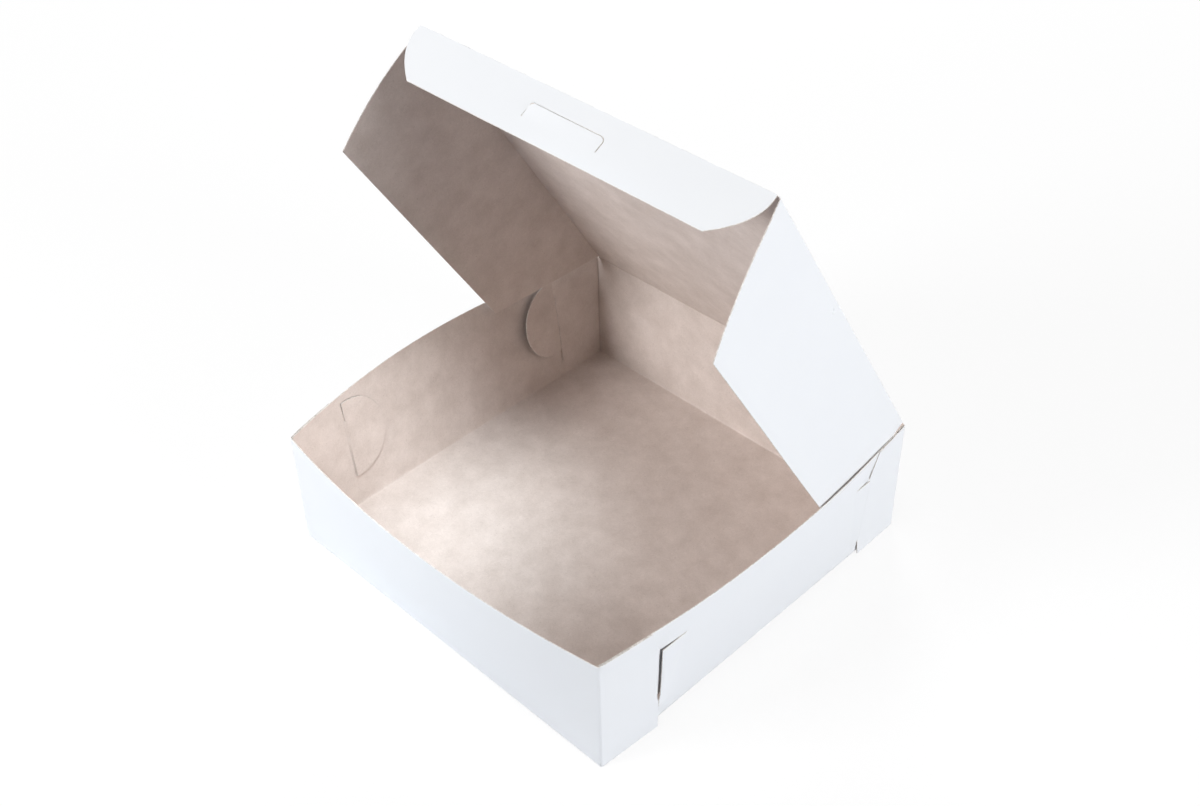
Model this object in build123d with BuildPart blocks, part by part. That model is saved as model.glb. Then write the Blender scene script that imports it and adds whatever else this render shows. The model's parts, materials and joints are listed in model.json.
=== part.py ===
from build123d import *
from math import cos, radians, sin, sqrt
import os

os.makedirs("parts", exist_ok=True)

# A one piece paperboard bakery box with its lid open.
# The origin is the middle of the base's underside, +Y is towards the hinge and +Z is up.

# Tray, outside sizes
box_width = 203.2
box_depth = 205.0
wall_height = 64.0
board = 0.5
play = 0.3

# The side walls' creases sit in from the corners, and the slack walls bow out along their rims
base_inset = 1.2
front_bow = 9.0
right_bow = 8.0
left_bow = 15.0

# Corner locks: an ear goes round each corner, outside the side wall, and its tip dives in at a slit
front_ear_reach = 32.8
back_ear_reach = 28.5
front_ear_flare = 2.2
back_ear_flare = 0.5
ear_gap = 0.8
ear_top_cut = 5.0
tip_dive = 1.2
tip_length = 23.0
tip_hook = 10.0
tip_lean_share = 0.8
neck_lift = 6.0

# Slits in the side walls
slit_bottom = 7.0
slit_below_rim = 14.0
slit_mouth = 1.4
slit_curl = 3.5
front_slit_arm = 16.0
back_slit_arm = 11.0

# Lid, a little smaller than the tray so that its flaps tuck inside
lid_angle = 58.5
lid_side_gap = 1.9
lid_front_gap = 1.8

# Side flaps of the lid
flap_floor_gap = 2.5
flap_rear_set_back = 27.0
flap_front_set_back = 19.0
flap_front_crown = 3.0
flap_end_gap = 1.5
left_splay_angle = 10.5
right_splay_angle = 5.0

# Front tuck flap of the lid, with its die cut thumb tab
tuck_side_gap = 1.7
tuck_height = 25.0
tuck_end_run = 16.0
tuck_end_crown = 5.0
tuck_tilt_angle = 4.0
tab_width = 42.0
tab_height = 7.5
tab_set_down = 8.8
tab_radius = 3.0
tab_slit = 0.6

# Places that follow from the sizes
half_width = box_width / 2
half_depth = box_depth / 2
base_half_width = half_width - base_inset
wall_end_x = half_width - board - play
wall_end_y = half_depth - board - play
slit_top = wall_height - slit_below_rim
fold_half_width = half_width - lid_side_gap
lid_length = box_depth - lid_front_gap
flap_height = wall_height - flap_floor_gap
tuck_half_width = fold_half_width - tuck_side_gap
rim = Plane.XY.offset(wall_height)

hinge = Vector(0, half_depth - board / 2, wall_height + play + board / 2)
along_lid = Vector(0, -cos(radians(lid_angle)), sin(radians(lid_angle)))
into_lid = Vector(0, -sin(radians(lid_angle)), -cos(radians(lid_angle)))


def rim_x(inset, bow):
    """Outer face of a side wall along its bowed rim, at a distance in from the box's corner."""
    radius = (wall_end_y**2 + bow**2) / (2 * bow)
    return wall_end_x + bow - radius + sqrt(radius**2 - (half_depth - inset) ** 2)


def lock_plane(end):
    """Side view plane of the locks at the front, -1, or back, 1: X runs in from the corner, Y up."""
    return Plane(origin=(0, end * half_depth, 0), x_dir=(0, -end, 0), z_dir=(-end, 0, 0))


def side_wall(side, bow):
    """A side wall on its straight base crease, bowed along the rim and slit near both corners."""
    with BuildPart() as wall:
        with BuildSketch():
            with Locations((side * (base_half_width - board / 2), 0)):
                Rectangle(board, 2 * wall_end_y)
        with BuildSketch(rim):
            with BuildLine():
                for face in (wall_end_x, wall_end_x - board):
                    ThreePointArc(
                        (side * face, -wall_end_y),
                        (side * (face + bow), 0),
                        (side * face, wall_end_y),
                    )
                for end in (-wall_end_y, wall_end_y):
                    Line((side * wall_end_x, end), (side * (wall_end_x - board), end))
            make_face()
        loft(ruled=True)
        for end, reach, arm in ((-1, front_ear_reach, front_slit_arm), (1, back_ear_reach, back_slit_arm)):
            near = reach - board - play
            far = reach + tip_dive + play
            foot = slit_bottom + slit_curl
            with BuildSketch(lock_plane(end)):
                with BuildLine():
                    Polyline(
                        (near, foot),
                        (near, slit_top),
                        (far + arm, slit_top),
                        (far, slit_top - slit_mouth),
                        (far, foot),
                    )
                    CenterArc((far + slit_curl, foot), slit_curl - play, 180, 90)
                    Line((far, foot), (far + play, foot))
                    Line((far + slit_curl, slit_bottom + play), (far + slit_curl, slit_bottom))
                    curl_width = far + slit_curl - near
                    EllipticalCenterArc((far + slit_curl, foot), curl_width, slit_curl, 180, arc_size=90)
                make_face()
            extrude(amount=box_width, both=True, mode=Mode.SUBTRACT)
    return wall.part


def lock_ear(side, end, bow, reach, flare):
    """An ear that turns the corner, lies along the outside of the side wall and tucks in its round tip."""
    dive = reach + tip_dive
    tip = dive + tip_length
    tucked_x = base_half_width - board - play
    foot_path = ((half_width, 0), (half_width + flare, reach), (tucked_x, dive), (tucked_x, tip))
    rim_path = (
        (half_width, 0),
        (rim_x(reach, bow) + ear_gap + board, reach),
        (rim_x(dive, bow) - board - play, dive),
        (rim_x(tip, bow) - board - play, tip),
    )
    low = slit_bottom + slit_curl + neck_lift
    high = slit_top - play
    top = high + tip_hook
    with BuildPart() as ear:
        for plane, path in ((Plane.XY, foot_path), (rim, rim_path)):
            leans = (0, board * tip_lean_share, board * tip_lean_share, 0)
            inner = [(x - board, inset - lean) for (x, inset), lean in zip(path, leans)]
            loop = list(path) + inner[::-1]
            with BuildSketch(plane):
                with BuildLine():
                    Polyline([(side * x, end * (half_depth - inset)) for x, inset in loop], close=True)
                make_face()
        loft(ruled=True)
        with BuildSketch(lock_plane(end)):
            with BuildLine():
                Polyline((dive, low), (reach, low), (reach, 0), (0, 0), (0, wall_height))
                Polyline((0, wall_height), (reach - ear_top_cut, wall_height), (reach, high), (dive, high))
                Line((dive, high), (dive, top))
                ThreePointArc((dive, top), (tip, (low + top) / 2), (dive, low))
            make_face()
        extrude(amount=box_width, both=True, mode=Mode.INTERSECT)
    return ear.part


side_walls = [side_wall(side, bow) for side, bow in ((1, right_bow), (-1, left_bow))]
ears = [
    lock_ear(side, end, bow, reach, flare)
    for side, bow in ((1, right_bow), (-1, left_bow))
    for end, reach, flare in ((-1, front_ear_reach, front_ear_flare), (1, back_ear_reach, back_ear_flare))
]

# Tray: base, four walls and the locked corner ears, one folded sheet
with BuildPart() as tray:
    with BuildSketch():
        Rectangle(2 * base_half_width, box_depth)
    extrude(amount=board)
    with BuildSketch():
        with Locations((0, half_depth - board / 2)):
            Rectangle(box_width, board)
    extrude(amount=wall_height)
    with BuildSketch():
        with Locations((0, board / 2 - half_depth)):
            Rectangle(box_width, board)
    with BuildSketch(rim):
        with BuildLine():
            for face in (half_depth, half_depth - board):
                ThreePointArc((-half_width, -face), (0, -face - front_bow), (half_width, -face))
            for x in (-half_width, half_width):
                Line((x, -half_depth), (x, board - half_depth))
        make_face()
    loft(ruled=True)
    add(side_walls)
    add(ears)
tray.part.label = "tray"
export_step(tray.part, "parts/tray.step")

# Lid panel: flat sheet with a rounded edge that turns on the crease over the back wall
with BuildPart() as lid_panel:
    with BuildSketch(Plane(hinge, x_dir=along_lid, z_dir=(1, 0, 0))):
        Circle(board / 2)
        Rectangle(lid_length - play, board, align=(Align.MIN, Align.CENTER))
    extrude(amount=fold_half_width - board / 2 - play, both=True)
lid_panel.part.label = "lid_panel"
export_step(lid_panel.part, "parts/lid_panel.step")


def side_flap(side, splay):
    """A flap with slanted ends, folded down from the lid's side crease and splayed a little."""
    start = hinge + Vector(side * fold_half_width, 0, 0)
    down = into_lid * cos(radians(splay)) + Vector(side * sin(radians(splay)), 0, 0)
    rear = flap_end_gap
    front = lid_length - flap_end_gap
    toe = front - flap_front_set_back
    crown = ((front + toe) / 2 + flap_front_crown, flap_height / 2)
    with BuildPart() as flap:
        with BuildSketch(Plane(start, x_dir=along_lid, z_dir=along_lid.cross(down))):
            with BuildLine():
                Polyline(
                    (front, 0),
                    (rear, 0),
                    (rear + flap_rear_set_back, flap_height),
                    (toe, flap_height),
                )
                ThreePointArc((toe, flap_height), crown, (front, 0))
            make_face()
        extrude(amount=board / 2, both=True)
        with BuildSketch(Plane(start + along_lid * rear, x_dir=down, z_dir=along_lid)):
            Circle(board / 2)
        extrude(amount=front - rear)
    return flap.part


# Side flaps of the lid
right_flap = side_flap(1, right_splay_angle)
right_flap.label = "right_flap"
export_step(right_flap, "parts/right_flap.step")
left_flap = side_flap(-1, left_splay_angle)
left_flap.label = "left_flap"
export_step(left_flap, "parts/left_flap.step")

# Front tuck flap with rounded ends and the thumb tab's slit, which laps over the lid's front edge
tuck_foot = tuck_half_width - tuck_end_run
tuck_shoulder = tuck_half_width - tuck_end_run / 2 + tuck_end_crown
tuck_top = board + play / 2
tuck_crease = hinge + along_lid * lid_length + into_lid * (tuck_top - board / 2)
tuck_inward = into_lid * sin(radians(tuck_tilt_angle)) - along_lid * cos(radians(tuck_tilt_angle))
with BuildSketch() as tab_cut:
    with Locations((0, tab_set_down + tab_height)):
        RectangleRounded(tab_width, 2 * tab_height, tab_radius)
        RectangleRounded(
            tab_width - 2 * tab_slit, 2 * (tab_height - tab_slit), tab_radius - tab_slit, mode=Mode.SUBTRACT
        )
        Rectangle(2 * tab_width, 2 * tab_height, align=(Align.CENTER, Align.MIN), mode=Mode.SUBTRACT)
with BuildPart() as front_flap:
    with BuildSketch(Plane(tuck_crease, x_dir=(1, 0, 0), z_dir=tuck_inward)):
        with BuildLine():
            Line((-tuck_foot, tuck_height), (tuck_foot, tuck_height))
            Polyline(
                (-tuck_half_width, 0),
                (-tuck_half_width, -tuck_top),
                (tuck_half_width, -tuck_top),
                (tuck_half_width, 0),
            )
            for side in (-1, 1):
                ThreePointArc(
                    (side * tuck_half_width, 0),
                    (side * tuck_shoulder, tuck_height / 2),
                    (side * tuck_foot, tuck_height),
                )
        make_face()
        add(tab_cut.sketch, mode=Mode.SUBTRACT)
    extrude(amount=-board)
front_flap.part.label = "front_flap"
export_step(front_flap.part, "parts/front_flap.step")
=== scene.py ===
import json
from math import cos, pi, radians, sin

import bpy
import numpy as np
from mathutils import Matrix, Vector, noise
from mathutils.geometry import delaunay_2d_cdt


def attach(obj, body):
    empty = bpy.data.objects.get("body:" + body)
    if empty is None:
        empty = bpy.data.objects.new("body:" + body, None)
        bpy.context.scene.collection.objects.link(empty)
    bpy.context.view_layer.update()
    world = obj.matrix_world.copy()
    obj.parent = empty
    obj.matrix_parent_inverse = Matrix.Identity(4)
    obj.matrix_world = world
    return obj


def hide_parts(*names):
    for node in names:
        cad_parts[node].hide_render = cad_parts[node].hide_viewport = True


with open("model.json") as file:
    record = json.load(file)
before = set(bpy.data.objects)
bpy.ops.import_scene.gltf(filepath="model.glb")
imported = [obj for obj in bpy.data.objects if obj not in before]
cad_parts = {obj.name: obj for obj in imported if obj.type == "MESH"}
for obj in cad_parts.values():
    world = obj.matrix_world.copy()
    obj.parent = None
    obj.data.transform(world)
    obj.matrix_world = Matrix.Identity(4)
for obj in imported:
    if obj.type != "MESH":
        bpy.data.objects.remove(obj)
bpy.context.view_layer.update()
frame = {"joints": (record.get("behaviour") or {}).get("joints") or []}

# Base of the tray
# The whole box is one die cut sheet of thin board, clay coated white outside and bare kraft inside.
# Its middle is the base, which lies flat and is creased along all four sides.
mm = 0.001
board = 0.5 * mm
half_board = board / 2
play = 0.3 * mm
box_width = 203.2 * mm
box_depth = 205.0 * mm
wall_height = 64.0 * mm
base_inset = 1.2 * mm
crease_reach = 1.1 * mm
crease_rows = (0.28, 0.55, 0.82, 1.0)
grid = 4.5 * mm
weld = 0.001 * mm
edge_round = 0.7
sharp_angle = radians(40)
base_dome = 0.4 * mm
dome_level = 0.6
bows = {1: 8.0 * mm, -1: 15.0 * mm}
end_bows = {-1: 9.0 * mm, 1: 0.0}
wall_sway = 0.7 * mm
sway_wave = 70 * mm
seed_step = 7.3
slack_rise = 30 * mm
slack_run = 40 * mm
end_slack = 0.2 * mm
side_fold_fade = 2.0 * mm
end_fold_fade = 1.5 * mm

foot_x = box_width / 2 - base_inset - half_board
foot_y = box_depth / 2 - half_board
corner_x = box_width / 2 - half_board
wall_end_x = box_width / 2 - board - play - half_board
wall_run = box_depth / 2 - board - play - end_slack
wall_rise = wall_height - half_board


def ease(value):
    """A smooth step from 0 to 1 as the value goes from 0 to 1."""
    value = min(max(value, 0.0), 1.0)
    return value * value * (3 - 2 * value)


def sway(a, b, seed):
    """The slow unevenness of a sheet, between about -1 and 1."""
    return noise.noise(Vector((a / sway_wave, b / sway_wave, seed_step * seed)))


def side_wall_spot(side, y, h):
    """Middle of the board of a side wall, at a height h up from its base crease."""
    rim = wall_end_x + bows[side] * (1 - (y / wall_run) ** 2)
    free = ease(h / slack_rise) * ease((wall_run - abs(y)) / slack_run)
    x = foot_x + (rim - foot_x) * h / wall_rise + wall_sway * free * sway(y, h, 3 + side)
    return Vector((side * x, y, half_board + h))


def end_wall_spot(end, x, h):
    """Middle of the board of the front wall, -1, or back wall, 1, at a height h up from its crease."""
    free = ease(h / slack_rise) * ease((corner_x - abs(x)) / slack_run)
    bow = end_bows[end] * (1 - (x / corner_x) ** 2) * h / wall_rise
    y = foot_y + bow + wall_sway * free * (1 - h / wall_height) * sway(x, h, 7 + end)
    return Vector((x, end * y, half_board + h))


def rounding(before, corner, after, away):
    """How far a rounded fold leaves the sharp one, away from it on one panel, or the other if negative."""
    sharp = corner.lerp(after if away > 0 else before, abs(away) / crease_reach)
    share = 0.5 + away / (2 * crease_reach)
    return before * (1 - share) ** 2 + corner * (2 * share * (1 - share)) + after * share**2 - sharp


def side_fold(side, y, away):
    """Rounding of the base crease of a side wall, away from it up the wall, or on the base if negative."""
    corner = side_wall_spot(side, y, 0)
    before = corner - Vector((side * crease_reach, 0, 0))
    after = side_wall_spot(side, y, crease_reach)
    return rounding(before, corner, after, away) * ease((wall_run - abs(y)) / side_fold_fade)


def end_fold(end, x, away):
    """The same at the base crease of the front or back wall."""
    corner = end_wall_spot(end, x, 0)
    before = corner - Vector((0, end * crease_reach, 0))
    after = end_wall_spot(end, x, crease_reach)
    return rounding(before, corner, after, away) * ease((foot_x + end_fold_fade - abs(x)) / end_fold_fade)


def base_spot(x, y):
    """Middle of the board of the base, which springs up a little in the middle."""
    inset_x, inset_y = foot_x - abs(x), foot_y - abs(y)
    free = ease(inset_x / slack_run) * ease(inset_y / slack_run)
    dome = base_dome * free * (dome_level + (1 - dome_level) * sway(x, y, 1))
    spot = Vector((x, y, half_board + dome))
    if inset_x < crease_reach:
        spot += side_fold(1 if x > 0 else -1, y, -inset_x)
    if inset_y < crease_reach:
        spot += end_fold(1 if y > 0 else -1, x, -inset_y)
    return spot


def steps(start, stop, step=grid):
    """Evenly spaced values from start to stop, both included."""
    count = max(1, round(abs(stop - start) / step))
    return [start + (stop - start) * i / count for i in range(count + 1)]


def outline_of(*corners, step=grid):
    """A closed outline through these corners, with points along its longer sides."""
    loop = []
    for (x0, y0), (x1, y1) in zip(corners, corners[1:] + corners[:1]):
        run = max(abs(x1 - x0), abs(y1 - y0))
        shares = steps(0, 1, min(1, step / max(run, weld)))[:-1]
        loop += [(x0 + (x1 - x0) * share, y0 + (y1 - y0) * share) for share in shares]
    return loop


def inside(points, loop):
    """Which of these flat points lie inside a closed loop."""
    x, y = points[:, 0], points[:, 1]
    found = np.zeros(len(points), bool)
    for (x0, y0), (x1, y1) in zip(loop, loop[1:] + loop[:1]):
        if y0 != y1:
            crosses = (y0 > y) != (y1 > y)
            found ^= crosses & (x < x0 + (y - y0) * (x1 - x0) / (y1 - y0))
    return found


class Sheet:
    """A sheet of board, gathered panel by panel as triangles on its middle surface."""

    def __init__(self):
        self.points, self.triangles = [], []
        self.numbers, self.turned = {}, set()

    def number(self, spot):
        """Number of the point at a spot, which panels that meet there share."""
        key = tuple(round(value / weld) for value in spot)
        if key not in self.numbers:
            self.numbers[key] = len(self.points)
            self.points.append(spot)
        return self.numbers[key]

    def panel(self, outline, spot_of, outside, cuts=(), near=(), turned=None):
        """Adds a panel from its flat outline, the cuts in it and more points near its folds and locks."""
        loops = [outline, *cuts]
        edges, first = [], 0
        for loop in loops:
            edges += [(first + i, first + (i + 1) % len(loop)) for i in range(len(loop))]
            first += len(loop)
        low, high = np.min(outline, 0), np.max(outline, 0)
        lattice = [(x, y) for x in steps(low[0], high[0]) for y in steps(low[1], high[1])]
        fill = np.array(lattice + list(near))
        keep = inside(fill, outline)
        for cut in cuts:
            keep &= ~inside(fill, cut)
        border = np.array([point for loop in loops for point in loop])
        closest = np.array([np.min(np.sum((border - point) ** 2, 1)) for point in fill])
        clear = np.where(np.arange(len(fill)) < len(lattice), grid / 2, crease_reach / 8)
        fill = fill[keep & (closest > clear**2)]
        flat = [Vector(point) for point in np.concatenate([border, fill])]
        flat, _, faces, *_ = delaunay_2d_cdt(flat, edges, [], 0, weld / 10)
        middles = np.array([np.mean([flat[i] for i in face], 0) for face in faces])
        keep = inside(middles, outline)
        for cut in cuts:
            keep &= ~inside(middles, cut)
        numbers = [self.number(spot_of(*point)) for point in flat]
        if turned:
            self.turned |= {number for number, point in zip(numbers, flat) if turned(*point)}
        faces = [[numbers[i] for i in face] for face, kept in zip(faces, keep) if kept]
        faces = [face for face in faces if len(set(face)) == 3]
        spots = np.array([[self.points[i] for i in face] for face in faces])
        normals = np.cross(spots[:, 1] - spots[:, 0], spots[:, 2] - spots[:, 0])
        if normals.sum(0) @ np.array(outside) < 0:
            faces = [face[::-1] for face in faces]
        self.triangles += faces

    def mesh(self, name):
        """The sheet at its full thickness: the coated face, the bare face and the cut edge between."""
        points = np.array(self.points)
        faces = np.array(self.triangles)
        used = np.unique(faces)
        corners = points[faces]
        face_normals = np.cross(corners[:, 1] - corners[:, 0], corners[:, 2] - corners[:, 0])
        normals = np.zeros_like(points)
        for column in range(3):
            np.add.at(normals, faces[:, column], face_normals)
        normals[used] /= np.linalg.norm(normals[used], axis=1, keepdims=True)
        sides = {(a, b) for face in self.triangles for a, b in zip(face, face[1:] + face[:1])}
        rim = sorted((a, b) for a, b in sides if (b, a) not in sides)
        swell = np.zeros_like(points)
        for a, b in rim:
            outward = np.cross(points[b] - points[a], normals[a])
            for end in (a, b):
                swell[end] += outward / np.linalg.norm(outward)
        edge = sorted({end for side in rim for end in side})
        swell[edge] /= np.maximum(np.linalg.norm(swell[edge], axis=1, keepdims=True), weld)
        count = len(points)
        coated, bare = points + normals * half_board, points - normals * half_board
        verts = np.concatenate([coated, bare, points + swell * half_board * edge_round])
        polygons = [list(face) for face in faces] + [[i + count for i in face[::-1]] for face in faces]
        slots = [0] * len(faces) + [1] * len(faces)
        for a, b in rim:
            polygons.append([b, a, a + 2 * count, b + 2 * count])
            polygons.append([b + 2 * count, a + 2 * count, a + count, b + count])
            slots += [0, 1] if a in self.turned and b in self.turned else [2, 2]
        kept = np.unique(np.concatenate([np.array(polygon) for polygon in polygons]))
        order = {old: new for new, old in enumerate(kept.tolist())}
        mesh = bpy.data.meshes.new(name)
        mesh.from_pydata(verts[kept].tolist(), [], [[order[i] for i in polygon] for polygon in polygons])
        mesh.polygons.foreach_set("material_index", slots)
        mesh.polygons.foreach_set("use_smooth", [True] * len(polygons))
        mesh.update()
        mesh.set_sharp_from_angle(angle=sharp_angle)
        return mesh


tray_sheet = Sheet()
side_marks = steps(-wall_run, wall_run)
end_marks = steps(-foot_x, foot_x)
base_outline = (
    [(x, -foot_y) for x in end_marks]
    + [(foot_x, y) for y in side_marks]
    + [(x, foot_y) for x in end_marks[::-1]]
    + [(-foot_x, y) for y in side_marks[::-1]]
)
base_near = [
    (side * (foot_x - row * crease_reach), y) for side in (-1, 1) for row in crease_rows for y in side_marks
] + [(x, end * (foot_y - row * crease_reach)) for end in (-1, 1) for row in crease_rows for x in end_marks]
tray_sheet.panel(base_outline, base_spot, (0, 0, -1), near=base_near)

# Front and back walls
# Each is the next panel of the sheet, turned up at its crease; the slack front wall bows out at its rim.
# At both ends the board goes on round the corner as the lock ears.
reaches = {-1: 32.8 * mm, 1: 28.5 * mm}
flares = {-1: 2.2 * mm, 1: 0.5 * mm}
arms = {-1: 16.0 * mm, 1: 11.0 * mm}
slit_bottom = 7.0 * mm
slit_below_rim = 14.0 * mm
slit_top = wall_height - slit_below_rim
slit_curl = 3.5 * mm
slit_foot = slit_bottom + slit_curl
slit_near = 0.1 * mm
slit_far = 0.8 * mm
neck_lift = 6.0 * mm
neck_foot = slit_foot + neck_lift
neck_top = slit_top - play
neck_ease = 3.0 * mm
tongue_lift = 1.0 * mm
tongue_curve = 0.8
wall_press = 0.6 * mm
slit_gap = 0.2 * mm
rim_gap = 0.4 * mm
gap_rises = {-1: slit_top, 1: 8.0 * mm}
dive_lead = 1.0 * mm
dive_run = 2.2 * mm
tip_length = 23.0 * mm
stands = {(-1, 1): 4.0 * mm, (-1, -1): 0.5 * mm, (1, 1): 0.8 * mm, (1, -1): 0.8 * mm}
rim_cut = 0.15 * mm
hinge_lap = 0.1 * mm


def lift_share(end, s, z):
    """How far up its full spring a slit's tongue stands, s in from the corner: 0 on its hinge line."""
    far = reaches[end] + slit_far
    foot = Vector((far + slit_curl, slit_bottom))
    hinge_line = Vector((far + arms[end], slit_top)) - foot
    across = Vector((-hinge_line.y, hinge_line.x)).normalized()
    full = (Vector((far, slit_top)) - foot).dot(across)
    return max(0.0, (Vector((s, z)) - foot).dot(across) / full) ** tongue_curve


def end_gap(end, z):
    """How far the end of an ear stands clear of its wall, most at the foot."""
    if z < slit_top:
        return slit_gap + (base_inset + flares[end] - slit_gap) * max(0.0, 1 - z / gap_rises[end])
    return slit_gap + (rim_gap - slit_gap) * (z - slit_top) / (wall_height - slit_top)


def ear_spot(side, end, e, h):
    """Middle of the board of an ear, e along from its corner: outside the wall, then in at the slit."""
    reach = reaches[end]
    z = half_board + h
    wall = side_wall_spot(side, end * min(foot_y - e, wall_run), h)
    corner_gap = corner_x - side * side_wall_spot(side, end * wall_run, h).x
    gap = corner_gap + (end_gap(end, z) - corner_gap) * min(e / reach, 1)
    inward = ease((e - reach + dive_lead) / dive_run)
    if e < reach:
        inward *= ease((z - neck_foot) / neck_ease) * ease((neck_top - z) / neck_ease)
    tucked = -board - play - stands[side, end] * max(e - reach, 0) / tip_length
    return Vector((wall.x + side * (gap + (tucked - gap) * inward), end * (foot_y - e), z))


def corner_fold(side, end, h, away):
    """Rounding of a corner crease, away from it along the ear, or back on the wall if negative."""
    corner = end_wall_spot(end, side * corner_x, h)
    before = end_wall_spot(end, side * (corner_x - crease_reach), h)
    after = ear_spot(side, end, crease_reach, h)
    return rounding(before, corner, after, away)


def end_wall_place(end):
    """Where each flat point of the front or back wall goes."""

    def place(x, h):
        spot = end_wall_spot(end, x, h)
        inset = corner_x - abs(x)
        if h < crease_reach:
            spot += end_fold(end, x, h)
        if inset < crease_reach:
            spot += corner_fold(1 if x > 0 else -1, end, h, -inset)
        return spot

    return place


rise_marks = steps(0, wall_rise - rim_cut)
for end in (-1, 1):
    top = rise_marks[-1] if end < 0 else wall_rise + hinge_lap
    outline = (
        [(-corner_x, 0)]
        + [(x, 0) for x in end_marks]
        + [(corner_x, h) for h in rise_marks]
        + [(x, top) for x in end_marks[::-1]]
        + [(-corner_x, h) for h in rise_marks[:0:-1]]
    )
    near = [(x, row * crease_reach) for row in crease_rows for x in end_marks]
    near += [
        (side * (corner_x - row * crease_reach), h)
        for side in (-1, 1)
        for row in crease_rows
        for h in rise_marks[1:-1]
    ]
    over_hinge = (lambda x, h: h >= rise_marks[-1]) if end > 0 else None
    tray_sheet.panel(outline, end_wall_place(end), (0, end, 0), near=near, turned=over_hinge)

# Side walls
# Turned up like the others but free at both ends, they bow out where the locks leave them slack.
# Near each corner the die has cut a slit with a long arm, and the tongue beside it springs out.
lock_step = 1.5 * mm
lock_before = 14.0 * mm
lock_past = 30.0 * mm
lock_margin = 2.0 * mm
slit_widen = 4.0 * mm
curl_step = 0.2
hair = 0.12 * mm
# Only the slit at the front right gapes at its foot, by its near and far edge; the others close to a hair.
foot_cuts = {(1, -1): (-0.2 * mm, 0.3 * mm)}
spread_run = 16.0 * mm
spread_start = slit_bottom - 2.0 * mm
spread_rise = 9.0 * mm
spread_share = 0.75
press_run = 16.0 * mm
press_foot = 12.0 * mm
press_rim = 17.0 * mm
dent_depth = 0.35 * mm
dent_width = 1.3 * mm
left_dents = [
    ((33.5 * mm, 54 * mm), (35 * mm, 46 * mm)),
    ((35 * mm, 44 * mm), (33 * mm, 21 * mm)),
    ((33 * mm, 21 * mm), (43 * mm, 26 * mm)),
    ((40 * mm, 58 * mm), (50 * mm, 58.5 * mm)),
    ((24 * mm, 33 * mm), (29 * mm, 38 * mm)),
]


def dent(s, z):
    """Depth of the pressed lines beside the front lock on the left, at s in from the corner."""
    depth = 0.0
    for start, stop in left_dents:
        run = Vector(stop) - Vector(start)
        along = min(max((Vector((s, z)) - Vector(start)).dot(run) / run.length_squared, 0.0), 1.0)
        away = (Vector((s, z)) - Vector(start) - run * along).length
        depth = max(depth, ease(1 - away / dent_width))
    return depth * dent_depth


def side_wall_place(side):
    """Where each flat point of a side wall goes, with the tongues out and the board by the slits in."""

    def place(y, h):
        spot = side_wall_spot(side, y, h)
        z = half_board + h
        for end, reach in reaches.items():
            s = foot_y - end * y
            if s > reach + slit_near / 2 and z < slit_top - weld:
                spot.x += side * tongue_lift * lift_share(end, s, z)
                if (side, end) in foot_cuts:
                    fade = ease((z - spread_start) / spread_rise) * ease(1 - (s - reach) / spread_run)
                    spot.x += side * spread_share * end_gap(end, z) * fade
            elif s < reach + slit_near / 2:
                beside = ease(1 - (reach - slit_near - s) / press_run)
                level = ease(z / press_foot) * ease((wall_height - z) / press_rim)
                spot.x -= side * wall_press * beside * level
        if side < 0 and y < 0:
            spot.x += dent(foot_y + y, z)
        if h < crease_reach:
            spot += side_fold(side, y, h)
        return spot

    return place


def slit_loop(side, end):
    """Outline of a lock's slit on the flat wall: upright, with a tapering arm on top and a curled foot."""
    reach, far = reaches[end], reaches[end] + slit_far
    low_near, low_far = foot_cuts.get((side, end), (hair, 2 * hair))
    upright = steps(slit_foot, slit_top, lock_step)
    shares = [ease((z - neck_foot) / slit_widen) for z in upright]
    near_edge = [(reach + low_near - (low_near + slit_near) * share, z) for share, z in zip(shares, upright)]
    far_edge = [(reach + low_far + (slit_far - low_far) * share, z) for share, z in zip(shares, upright)]
    arm = steps(0, 1, 2 * lock_step / arms[end])
    over = [(far + share * arms[end], slit_top) for share in arm]
    under = [(far + share * arms[end], slit_top - play * (1 - share)) for share in arm[-2::-1]]
    middle = reach + low_far + slit_curl
    wide = slit_curl + low_far - low_near
    turns = steps(pi, 1.5 * pi, curl_step)
    inner = [(middle + slit_curl * cos(t), slit_foot + (slit_curl - hair) * sin(t)) for t in turns[1:]]
    outer = [(middle + wide * cos(t), slit_foot + slit_curl * sin(t)) for t in turns[:0:-1]]
    loop = near_edge + over + under + far_edge[-2::-1] + inner + outer
    return [(end * (foot_y - s), z - half_board) for s, z in loop]


for side in (-1, 1):
    outline = (
        [(y, 0) for y in side_marks]
        + [(wall_run, h) for h in rise_marks[1:]]
        + [(y, rise_marks[-1]) for y in side_marks[-2::-1]]
        + [(-wall_run, h) for h in rise_marks[-2:0:-1]]
    )
    near = [(y, row * crease_reach) for row in crease_rows for y in side_marks]
    for end, reach in reaches.items():
        lock = steps(reach - lock_before, reach + lock_past, lock_step)
        lock_rises = steps(lock_margin, wall_height - lock_margin, lock_step)
        near += [(end * (foot_y - s), z) for s in lock for z in lock_rises]
    slits = [slit_loop(side, end) for end in reaches]
    tray_sheet.panel(outline, side_wall_place(side), (side, 0, 0), cuts=slits, near=near)

# Corner ears
# The ends of the front and back walls, folded round the corners to lie outside the side walls.
# Each ear's round hooked tip goes in through the slit, and so locks the corner without glue.
tip_dive = 1.2 * mm
tip_top = neck_top + 10.0 * mm
ear_top_cut = 5.0 * mm
ear_short = 0.2 * mm
ear_step = 3.0 * mm
tip_step = 0.12


def ear_place(side, end):
    """Where each flat point of an ear goes."""

    def place(e, h):
        spot = ear_spot(side, end, e, h)
        return spot + corner_fold(side, end, h, e) if e < crease_reach else spot

    return place


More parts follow.
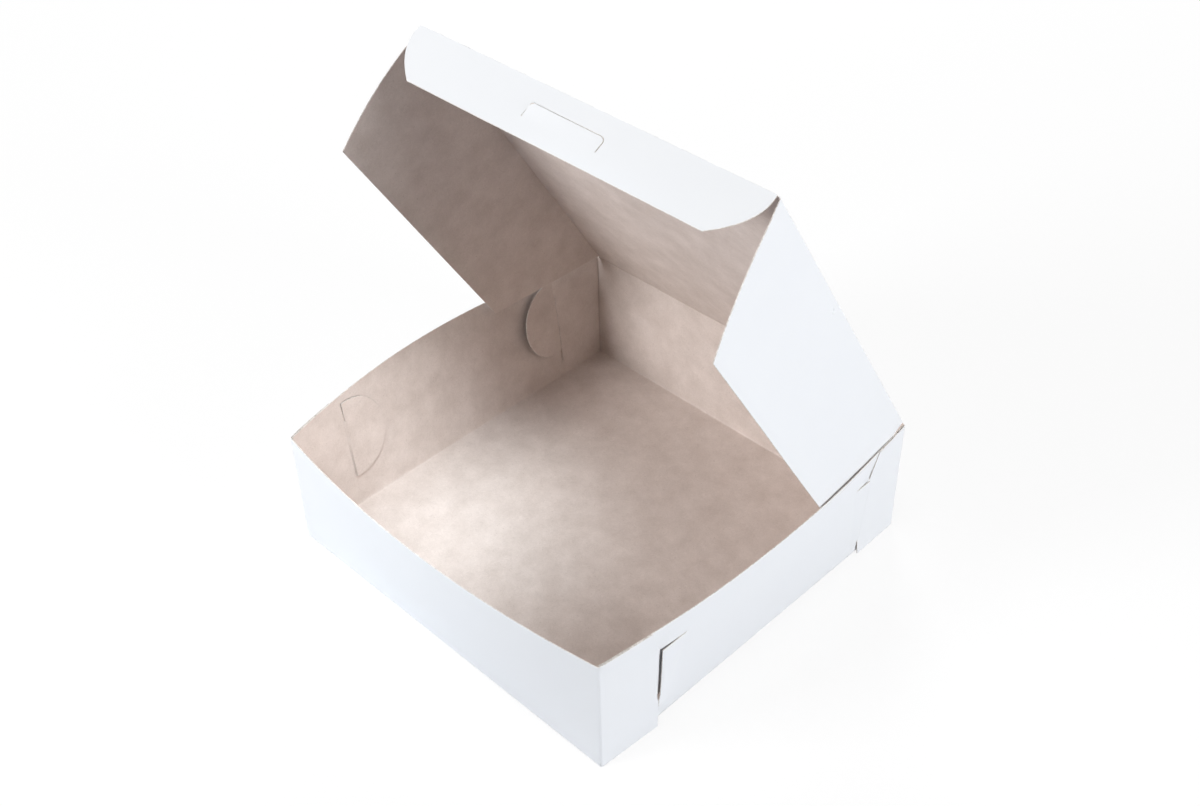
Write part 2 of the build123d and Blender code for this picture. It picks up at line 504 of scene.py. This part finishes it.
for end, reach in reaches.items():
    dive = reach + tip_dive
    half_chord = (tip_top - neck_foot) / 2
    radius = (half_chord**2 + tip_length**2) / (2 * tip_length)
    centre = (dive + tip_length - radius, (tip_top + neck_foot) / 2)
    swing = pi / 2 + np.arcsin((tip_length - radius) / radius)
    turns = steps(-swing, swing, tip_step)
    tip = [(centre[0] + radius * cos(t), centre[1] + radius * sin(t)) for t in turns]
    body_end = reach - ear_short
    top_h = rise_marks[-1]
    run_out = outline_of((0, 0), (body_end, 0), (body_end, neck_foot), step=ear_step)
    run_out = run_out[: run_out.index((body_end, neck_foot)) + 1]
    top_in = steps(reach - ear_top_cut, 0, ear_step)
    outline = run_out + tip + [(dive, neck_top), (body_end, neck_top)] + [(e, top_h) for e in top_in]
    outline += [(0, h) for h in rise_marks[-2:0:-1]]
    near = [(row * crease_reach, h) for row in crease_rows for h in rise_marks]
    fine = steps(reach - lock_before, dive + tip_length, lock_step)
    near += [(e, h) for e in fine for h in steps(lock_step, top_h, lock_step)]
    for side in (-1, 1):
        tray_sheet.panel(outline, ear_place(side, end), (side, 0, 0), near=near)

# Board faces
# Outside, a smooth white coat of clay on the board; inside, bare kraft with clouds and stray fibres.
# Where the die cut the sheet, its pale fibrous core shows as a thin edge.
coat_white = (0.82, 0.832, 0.85, 1)
coat_shade = (0.795, 0.809, 0.833, 1)
kraft_deep = (0.55, 0.472, 0.43, 1)
kraft_pale = (0.764, 0.682, 0.639, 1)
kraft_fleck = (0.371, 0.299, 0.254, 1)
core_pale = (0.78, 0.75, 0.72, 1)
core_deep = (0.55, 0.5, 0.46, 1)
coat_sheen = 0.35
kraft_sheen = 0.3
coat_tooth_depth = 0.03 * mm
kraft_fibre_depth = 0.12 * mm


class Wire:
    """A socket in a node tree. Arithmetic on it adds Math nodes, and node() adds any other node."""

    def __init__(self, tree, socket=None):
        self.tree, self.socket = tree, socket

    def node(self, kind, settings, sockets, output=0):
        made = self.tree.nodes.new(kind)
        for name, value in settings.items():
            setattr(made, name, value)
        for name, value in sockets.items():
            if isinstance(value, Wire):
                self.tree.links.new(value.socket, made.inputs[name])
            else:
                made.inputs[name].default_value = value
        return Wire(self.tree, made.outputs[output])

    def maths(self, operation, first, second, clamp=False):
        settings = {"operation": operation, "use_clamp": clamp}
        return self.node("ShaderNodeMath", settings, {0: first, 1: second})

    def __add__(self, other):
        return self.maths("ADD", self, other)

    def __sub__(self, other):
        return self.maths("SUBTRACT", self, other)

    def __rsub__(self, other):
        return self.maths("SUBTRACT", other, self)

    def __mul__(self, other):
        return self.maths("MULTIPLY", self, other)

    __radd__ = __add__
    __rmul__ = __mul__

    def above(self, level, width):
        """0 below a level, rising to 1 over the width above it."""
        return self.maths("MULTIPLY", self - level, 1 / width, clamp=True)

    def mixed(self, first, second):
        """A colour from the first to the second as this value goes from 0 to 1."""
        return self.node("ShaderNodeMix", {"data_type": "RGBA"}, {0: self, 6: first, 7: second}, 2)


def board_finish(name):
    """A new material, its shader, and a wire of the place on the piece."""
    material = bpy.data.materials.new(name)
    material.use_nodes = True
    start = Wire(material.node_tree)
    where = start.node("ShaderNodeTexCoord", {}, {}, "Object")
    return material, material.node_tree.nodes["Principled BSDF"], where


def grain(where, scale, detail=2.0, roughness=0.5, distortion=0.0):
    """Noise of so many waves to the metre."""
    sockets = {"Vector": where, "Scale": scale, "Detail": detail}
    sockets |= {"Roughness": roughness, "Distortion": distortion}
    return where.node("ShaderNodeTexNoise", {}, sockets)


def feed(shader, **wires):
    """Links what varies over the surface to the shader."""
    for name, wire in wires.items():
        wire.tree.links.new(wire.socket, shader.inputs[name.replace("_", " ")])


def clay_coat():
    """White clay coat: smooth, a little cloudy, with a faint tooth and a soft sheen."""
    material, shader, where = board_finish("clay_coat")
    cloud = grain(where, scale=26, detail=3)
    tooth = grain(where, scale=1900)
    relief = {"Strength": 0.12, "Distance": coat_tooth_depth, "Height": tooth + cloud * 3}
    bump = where.node("ShaderNodeBump", {}, relief)
    feed(shader, Base_Color=cloud.mixed(coat_white, coat_shade), Roughness=0.44 + tooth * 0.12, Normal=bump)
    shader.inputs["Specular IOR Level"].default_value = coat_sheen
    return material


def kraft_liner():
    """Bare kraft: grey brown clouds, short fibres that lie every way and a few dark flecks."""
    material, shader, where = board_finish("kraft_liner")
    cloud = grain(where, scale=75, detail=3, roughness=0.6)
    fibre = grain(where, scale=520, detail=5, roughness=0.65, distortion=2.2)
    fleck = grain(where, scale=1300, distortion=1.5).above(0.66, width=0.06)
    tone = (cloud * 0.9 + fibre * 0.8).above(0.45, width=0.8)
    colour = (fleck * 0.45).mixed(tone.mixed(kraft_deep, kraft_pale), kraft_fleck)
    relief = {"Strength": 0.35, "Distance": kraft_fibre_depth, "Height": fibre + cloud * 1.5}
    bump = where.node("ShaderNodeBump", {}, relief)
    feed(shader, Base_Color=colour, Roughness=0.72 + fibre * 0.2, Normal=bump)
    shader.inputs["Specular IOR Level"].default_value = kraft_sheen
    return material


def cut_core():
    """The die cut edge: pale pulp between the coat and the kraft, rough with short fibres."""
    material, shader, where = board_finish("cut_core")
    pulp = grain(where, scale=900, detail=3, roughness=0.6)
    colour = pulp.above(0.35, width=0.3).mixed(core_deep, core_pale)
    feed(shader, Base_Color=colour, Roughness=0.8 + pulp * 0.15)
    return material


finishes = [clay_coat(), kraft_liner(), cut_core()]


def folded_piece(sheet, name, body):
    """The finished piece of board, in place of the solid of that name."""
    piece = bpy.data.objects.new(name + "_board", sheet.mesh(name))
    bpy.context.scene.collection.objects.link(piece)
    for finish in finishes:
        piece.data.materials.append(finish)
    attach(piece, body)
    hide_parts(name)
    return piece


folded_piece(tray_sheet, "tray", "tray")

# Lid panel
# The next panel of the sheet past the back wall, which turns on the crease along that wall's top.
# It is a little smaller than the tray, and nearly flat, since its own flaps stiffen it.
lid_joint = next(joint for joint in frame["joints"] if joint["name"] == "lid_hinge")
lid_angle = radians(58.5)
lid_side_gap = 1.9 * mm
lid_front_gap = 1.8 * mm
fold_half_width = box_width / 2 - lid_side_gap
lid_length = box_depth - lid_front_gap
lid_sway = 0.45 * mm
lid_slack_run = 50 * mm
hinge = Vector(lid_joint["pos_m"])
along_lid = Vector((0, -cos(lid_angle), sin(lid_angle)))
into_lid = Vector((0, -sin(lid_angle), -cos(lid_angle)))


def lid_spot(x, u):
    """Middle of the board of the lid, u along from its hinge."""
    inset = min(fold_half_width - abs(x), u, lid_length - u)
    bow = lid_sway * ease(inset / lid_slack_run) * sway(x, u, 11)
    return hinge + Vector((x, 0, 0)) + along_lid * u + into_lid * bow


lid_sheet = Sheet()
lid_end = lid_length - play / 2
lid_outline = outline_of(
    (-fold_half_width, 0), (fold_half_width, 0), (fold_half_width, lid_end), (-fold_half_width, lid_end)
)
lid_sheet.panel(lid_outline, lid_spot, -into_lid, turned=lambda x, u: True)
folded_piece(lid_sheet, "lid_panel", "lid_panel")

# Side flaps of the lid
# Folded down from the lid's side creases to tuck inside the side walls; their springy creases splay them.
# Both ends are cut slanting so that the flaps clear the corners as the lid shuts.
flap_floor_gap = 2.5 * mm
flap_front_gap = 1.5 * mm
flap_height = wall_height - flap_floor_gap
flap_rear = 0.6 * mm
flap_front = lid_length - flap_front_gap
flap_rear_set_back = 27.0 * mm
flap_front_set_back = 19.0 * mm
flap_toe = flap_front - flap_front_set_back
flap_front_crown = 3.0 * mm
flap_sway = 0.5 * mm
flap_slack_run = 35 * mm
spring_run = 10 * mm
flap_spring = {-1: (0.0, 0.0), 1: (0.8 * mm, 0.75 * mm)}
mark_place = (120.3 * mm, 3.8 * mm)
mark_radius = 1.6 * mm
mark_depth = 0.8 * mm
mark_steepness = 1.6
mark_step = 0.3 * mm
mark_margin = 1.2 * mark_radius
splays = {"left_flap": (-1, radians(10.5)), "right_flap": (1, radians(5.0))}


def flap_place(side, splay):
    """Where each flat point of a side flap goes, u along the lid and v down from its crease."""
    down = into_lid * cos(splay) + Vector((side * sin(splay), 0, 0))
    out = Vector((side * cos(splay), 0, 0)) - into_lid * sin(splay)
    start = hinge + Vector((side * fold_half_width, 0, 0))

    def place(u, v):
        near_crease, below = flap_spring[side]
        bow = near_crease * ease(v / spring_run) + below * v / flap_height
        bow += flap_sway * ease(v / flap_slack_run) * sway(u, v, 15 + side)
        if side > 0:
            away = (Vector((u, v)) - Vector(mark_place)).length
            bow -= mark_depth * ease(mark_steepness * (1 - away / mark_radius))
        return start + along_lid * u + down * v + out * bow

    return place, out


def flap_outline():
    """A flap's flat outline: straight crease, slanted rear, straight foot and a softly rounded front."""
    crease = [(u, 0) for u in steps(flap_front, flap_rear)]
    rear = [
        (flap_rear + flap_rear_set_back * share, flap_height * share)
        for share in steps(0, 1, grid / flap_height)[1:]
    ]
    foot = [(u, flap_height) for u in steps(flap_rear + flap_rear_set_back, flap_toe)[1:]]
    front = []
    for share in steps(0, 1, grid / flap_height)[1:-1]:
        straight = flap_toe + (flap_front - flap_toe) * share
        front.append((straight + 4 * flap_front_crown * share * (1 - share), flap_height * (1 - share)))
    return crease + rear + foot + front


mark_steps = steps(-mark_margin, mark_margin, mark_step)
mark_near = [(mark_place[0] + a, mark_place[1] + b) for a in mark_steps for b in mark_steps]
for name, (side, splay) in splays.items():
    flap_sheet = Sheet()
    place, out = flap_place(side, splay)
    flap_sheet.panel(flap_outline(), place, out, near=mark_near, turned=lambda u, v: v < half_board)
    folded_piece(flap_sheet, name, name)

# Front flap of the lid
# The tuck flap, folded down from the lid's front crease, with round ends that find their way into the tray.
# A thumb tab is cut in its middle on three sides and stands a little proud.
tuck_joint = next(joint for joint in frame["joints"] if joint["name"] == "front_flap_crease")
tuck_side_gap = 0.7 * mm
tuck_half_width = fold_half_width - tuck_side_gap
tuck_height = 25.0 * mm
tuck_end_run = 16.0 * mm
tuck_end_crown = 5.0 * mm
tuck_tilt = radians(4.0)
tuck_top = board + play / 2
tuck_sway = 0.3 * mm
tuck_slack_run = 20 * mm
tuck_end_step = 0.1
tab_half = 21.0 * mm
tab_height = 7.5 * mm
tab_set_down = 8.8 * mm
tab_radius = 3.0 * mm
tab_slit = 0.45 * mm
tab_lift = 0.7 * mm
tab_middle_share = 0.7
tab_lean_share = 0.5
tab_margin = 2.0 * mm
tab_turn_step = 0.2
tuck_down = into_lid * cos(tuck_tilt) + along_lid * sin(tuck_tilt)
tuck_out = along_lid * cos(tuck_tilt) - into_lid * sin(tuck_tilt)
tuck_crease = Vector(tuck_joint["pos_m"]) + tuck_out * half_board


def tuck_spot(x, v):
    """Middle of the board of the front flap, v down from its crease, with the thumb tab sprung out."""
    spot = tuck_crease + Vector((x, 0, 0)) + tuck_down * v
    down = (v - tab_set_down) / tab_height
    if abs(x) < tab_half - tab_slit / 2 and tab_slit / 2 / tab_height < down < 1:
        spot += tuck_out * tab_lift * (1 - down) * (tab_middle_share - tab_lean_share * x / tab_half)
    return spot + tuck_out * tuck_sway * ease(v / tuck_slack_run) * sway(x, v, 21)


def tab_path(inset):
    """The tab's cut line: up one side, over the rounded corners and down the other."""
    half, top, radius = tab_half - inset, tab_set_down + inset, tab_radius - inset
    path = [(-half, v) for v in steps(tab_set_down + tab_height, top + radius, lock_step)]
    for side, start in ((-1, pi), (1, 1.5 * pi)):
        turn = [start + pi / 2 * share for share in steps(0, 1, tab_turn_step)]
        centre = (side * (half - radius), top + radius)
        path += [(centre[0] + radius * cos(t), centre[1] + radius * sin(t)) for t in turn]
    return path + [(-x, v) for x, v in path[: len(path) // 2][::-1] if v > top + radius]


front_sheet = Sheet()
tuck_foot = tuck_half_width - tuck_end_run
bottom = [(x, tuck_height) for x in steps(-tuck_foot, tuck_foot)]
right_end = []
for share in steps(0, 1, tuck_end_step)[1:-1]:
    straight = tuck_foot + tuck_end_run * share
    right_end.append((straight + 4 * tuck_end_crown * share * (1 - share), tuck_height * (1 - share)))
top_edge = [(x, -tuck_top) for x in steps(tuck_half_width, -tuck_half_width)]
left_end = [(-x, v) for x, v in right_end[::-1]]
tuck_outline = bottom + right_end + top_edge + left_end
tab_cut = tab_path(0) + tab_path(tab_slit)[::-1]
tab_near = [
    (x, v)
    for x in steps(-tab_half - tab_margin, tab_half + tab_margin, lock_step)
    for v in steps(tab_set_down - tab_margin, tab_set_down + tab_height + tab_margin, lock_step)
]
front_sheet.panel(
    tuck_outline, tuck_spot, tuck_out, cuts=[tab_cut], near=tab_near, turned=lambda x, v: v < 0
)
folded_piece(front_sheet, "front_flap", "front_flap")

# Floor
# A plain white sweep under the box, smooth and matt, which takes only the box's own faint soft shadow.
# Seen straight it is mostly plain white, and all white far off, so it runs into the room without an edge.
floor_half = 8.0
floor_white = (0.95, 0.95, 0.95, 1)
floor_bounce = (0.41, 0.44, 0.49, 1)
plain_share = 0.84
shadow_reach = 0.45
shadow_fade = 0.5
floor_mesh = bpy.data.meshes.new("floor")
floor_corners = [(x * floor_half, y * floor_half, 0) for x, y in ((-1, -1), (1, -1), (1, 1), (-1, 1))]
floor_mesh.from_pydata(floor_corners, [], [(0, 1, 2, 3)])
floor = bpy.data.objects.new("floor", floor_mesh)
bpy.context.scene.collection.objects.link(floor)
sweep = bpy.data.materials.new("white_sweep")
sweep.use_nodes = True
paint = sweep.node_tree.nodes["Principled BSDF"]
paint.inputs["Roughness"].default_value = 0.9
paint.inputs["Specular IOR Level"].default_value = 0.0


def sees_white(tree):
    """1 for rays from the camera, and for mirrored and refracted ones, which all see the plain white."""
    rays = ("Is Camera Ray", "Is Glossy Ray", "Is Transmission Ray")
    camera_ray, mirrored, refracted = [Wire(tree).node("ShaderNodeLightPath", {}, {}, ray) for ray in rays]
    return camera_ray.maths("ADD", camera_ray + mirrored, refracted, clamp=True)


sweep_start = Wire(sweep.node_tree)
seen = sees_white(sweep.node_tree)
plain = sweep_start.node("ShaderNodeEmission", {}, {"Color": (1, 1, 1, 1), "Strength": 1.0})
where = sweep_start.node("ShaderNodeTexCoord", {}, {}, "Object")
away = where.node("ShaderNodeVectorMath", {"operation": "LENGTH"}, {0: where}, "Value")
white_share = plain_share + away.above(shadow_reach, shadow_fade) * (1 - plain_share)
feed(paint, Base_Color=seen.mixed(floor_bounce, floor_white))
lit = Wire(sweep.node_tree, paint.outputs["BSDF"])
whole = sweep_start.node("ShaderNodeMixShader", {}, {0: seen * white_share, 1: lit, 2: plain})
sweep_end = sweep.node_tree.nodes["Material Output"]
sweep.node_tree.links.new(whole.socket, sweep_end.inputs["Surface"])
floor_mesh.materials.append(sweep)

# Light
# Soft boxes in front to the left, low on the right, overhead and behind, in a dim white room.
# A soft cool spot from high in front falls in past the lid, on the front of the base.
room_strength = 0.02
# Place, size and power of each
soft_boxes = {
    "front_left": ((-0.6025, -1.292, 0.726), 0.6, 21.4),
    "low_right": ((1.53, 0.2, 0.414), 0.6, 19.0),
    "overhead": ((0.16, -0.25, 1.57), 0.6, 8.0),
    "back_left": ((-0.954, 1.136, 0.6), 0.6, 14.0),
}
aim = Vector((0, 0, 60 * mm))
for name, (spot, size, power) in soft_boxes.items():
    lamp = bpy.data.lights.new(name, "AREA")
    lamp.size = size
    lamp.energy = power
    box = bpy.data.objects.new(name, lamp)
    box.location = spot
    box.rotation_euler = (aim - Vector(spot)).to_track_quat("-Z", "Y").to_euler()
    bpy.context.scene.collection.objects.link(box)
spot_lamp = bpy.data.lights.new("soft_spot", "SPOT")
spot_lamp.energy = 128.0
spot_lamp.color = (0.85, 0.95, 1.0)
spot_lamp.spot_size = radians(5.4)
spot_lamp.spot_blend = 1.0
spot_lamp.shadow_soft_size = 0.05
soft_spot = bpy.data.objects.new("soft_spot", spot_lamp)
spot_aim = Vector((-0.053, -0.055, 0))
soft_spot.location = spot_aim + Vector((0.553, -0.432, 1.438))
soft_spot.rotation_euler = (spot_aim - soft_spot.location).to_track_quat("-Z", "Y").to_euler()
bpy.context.scene.collection.objects.link(soft_spot)
world = bpy.data.worlds.new("white_room")
world.use_nodes = True
room = world.node_tree.nodes["Background"]
room.inputs["Color"].default_value = (1, 1, 1, 1)
room_light = sees_white(world.node_tree) * (1 - room_strength) + room_strength
world.node_tree.links.new(room_light.socket, room.inputs["Strength"])
bpy.context.scene.world = world
bpy.context.scene.view_settings.view_transform = "Standard"

# Camera
# It stands to the front right, looking down into the open box, as the photograph was taken.
# The shift is along its own right and up, so that the box sits in the frame as it does there.
azimuth, elevation, roll = radians(45.254), radians(39.827), radians(-1.12)
view_distance = 0.7772
view_shift = (0.000078, 0.062266)
view_right = Vector((cos(azimuth), sin(azimuth), 0))
view_back = Vector((sin(azimuth) * cos(elevation), -cos(azimuth) * cos(elevation), sin(elevation)))
view_up = view_back.cross(view_right)
level_right = view_right * cos(roll) + view_up * sin(roll)
level_up = view_up * cos(roll) - view_right * sin(roll)
camera_data = bpy.data.cameras.new("camera")
camera_data.sensor_width = 36.0
camera_data.lens = 47.2
camera = bpy.data.objects.new("camera", camera_data)
turn = Matrix((level_right, level_up, view_back)).transposed().to_4x4()
stand = level_right * view_shift[0] + level_up * view_shift[1] + view_back * view_distance
camera.matrix_world = Matrix.Translation(stand) @ turn
bpy.context.scene.collection.objects.link(camera)
bpy.context.scene.camera = camera
